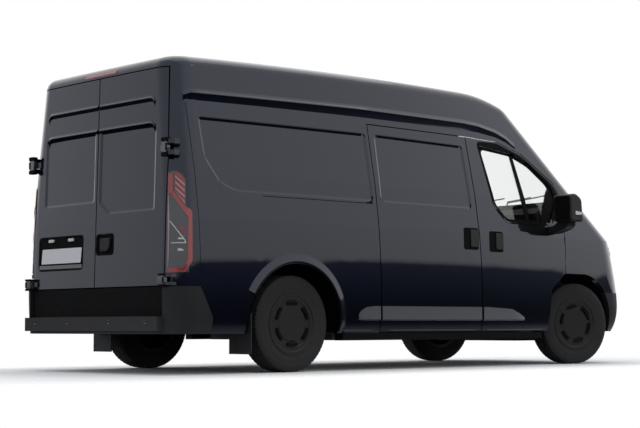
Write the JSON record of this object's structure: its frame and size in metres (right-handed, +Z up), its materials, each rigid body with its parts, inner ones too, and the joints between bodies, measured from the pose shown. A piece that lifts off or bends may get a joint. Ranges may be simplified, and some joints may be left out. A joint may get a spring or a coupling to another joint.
{
  "type": "panel van",
  "caption": "High-roof battery-electric panel van with hinged cab doors and bonnet, twin rear doors, a fixed sliding side door, steered front wheels and four free-rolling wheels.",
  "frame": {"origin": "on the road under the middle of the van", "axes": "+X forward, +Y to the left of the van, +Z up"},
  "size_m": [5.2859, 2.54, 2.2635],
  "materials": {
    "paint": "gloss dark metallic paint",
    "black_plastic": "grained dark grey moulding",
    "gloss_black": "gloss black panel",
    "glass": "tinted glass",
    "red_lens": "red moulded lens",
    "clear_lens": "clear moulded lens over a dark housing",
    "tyre": "black tyre rubber",
    "wheel_paint": "dark grey wheel and cover",
    "chassis_steel": "black chassis paint",
    "battery_case": "cast and pressed case",
    "alloy": "cast housing",
    "interior_plastic": "grained interior plastic",
    "seat_fabric": "woven seat cloth"
  },
  "bodies": {
    "body": {"battery_pack": "battery_case", "body_side_left": "paint", "body_side_right": "paint", "bulkhead": "chassis_steel", "cab_top": "paint", "chassis_rails": "chassis_steel", "cowl": "black_plastic", "dashboard": "interior_plastic", "drive_unit": "alloy", "floor": "chassis_steel", "front_bumper": "black_plastic", "front_suspension": "chassis_steel", "headlamps": "clear_lens", "high_brake_lamp": "red_lens", "mud_flaps": "black_plastic", "nose_panel": "paint", "rear_axle": "chassis_steel", "rear_bumper": "black_plastic", "roof": "paint", "seats": "seat_fabric", "sills": "black_plastic", "sliding_door": "paint", "steering_wheel": "interior_plastic", "step_panel": "gloss_black", "tail_lamps": "red_lens", "wheel_housings": "black_plastic", "windscreen": "glass", "wings": "paint"},
    "bonnet": {"bonnet": "paint"},
    "cab_door_left": {"cab_door_left": "paint", "door_glass_left": "glass", "mirror_left": "black_plastic"},
    "cab_door_right": {"cab_door_right": "paint", "door_glass_right": "glass", "mirror_right": "black_plastic"},
    "rear_door_left": {"rear_door_left": "paint"},
    "rear_door_right": {"rear_door_right": "paint"},
    "knuckle_left": {"knuckle_left": "chassis_steel"},
    "knuckle_right": {"knuckle_right": "chassis_steel"},
    "wheel_front_left": {"tyre_front_left": "tyre", "rim_front_left": "wheel_paint"},
    "wheel_front_right": {"tyre_front_right": "tyre", "rim_front_right": "wheel_paint"},
    "wheel_rear_left": {"tyre_rear_left": "tyre", "rim_rear_left": "wheel_paint"},
    "wheel_rear_right": {"tyre_rear_right": "tyre", "rim_rear_right": "wheel_paint"}
  },
  "joints": [
    {"name": "bonnet_hinge", "type": "hinge", "parent": "body", "child": "bonnet", "pos_m": [2.15, 0, 1.331], "axis": [0, -1, 0], "range_deg": [0, 55]},
    {"name": "cab_door_left_hinge", "type": "hinge", "parent": "body", "child": "cab_door_left", "pos_m": [1.609, 0.99, 0.9], "axis": [0, 0, -1], "range_deg": [0, 70]},
    {"name": "cab_door_right_hinge", "type": "hinge", "parent": "body", "child": "cab_door_right", "pos_m": [1.609, -0.99, 0.9], "axis": [0, 0, 1], "range_deg": [0, 70]},
    {"name": "rear_door_left_hinge", "type": "hinge", "parent": "body", "child": "rear_door_left", "pos_m": [-2.6, 0.83, 0.66], "axis": [-0.024, 0, -0.9997], "range_deg": [0, 180]},
    {"name": "rear_door_right_hinge", "type": "hinge", "parent": "body", "child": "rear_door_right", "pos_m": [-2.6, -0.83, 0.66], "axis": [0.024, 0, 0.9997], "range_deg": [0, 180]},
    {"name": "steer_left", "type": "hinge", "parent": "body", "child": "knuckle_left", "pos_m": [1.872, 0.7, 0.35], "axis": [0, 0, 1], "range_deg": [-21.5, 48.5]},
    {"name": "steer_right", "type": "hinge", "parent": "body", "child": "knuckle_right", "pos_m": [1.872, -0.7, 0.35], "axis": [0, 0, 1], "range_deg": [-21.5, 48.5]},
    {"name": "wheel_front_left_spin", "type": "hinge", "parent": "knuckle_left", "child": "wheel_front_left", "pos_m": [1.90421, 0.83419, 0.35], "axis": [0.2334, 0.9724, 0], "continuous": true},
    {"name": "wheel_rear_left_spin", "type": "hinge", "parent": "body", "child": "wheel_rear_left", "pos_m": [-1.5, 0.838, 0.35], "axis": [0, 1, 0], "continuous": true},
    {"name": "wheel_front_right_spin", "type": "hinge", "parent": "knuckle_right", "child": "wheel_front_right", "pos_m": [1.83979, -0.83419, 0.35], "axis": [0.2334, 0.9724, 0], "continuous": true},
    {"name": "wheel_rear_right_spin", "type": "hinge", "parent": "body", "child": "wheel_rear_right", "pos_m": [-1.5, -0.838, 0.35], "axis": [0, 1, 0], "continuous": true}
  ],
  "couplings": [
    {"joint": "steer_left", "follows": "steer_right", "ratio": 1}
  ]
}
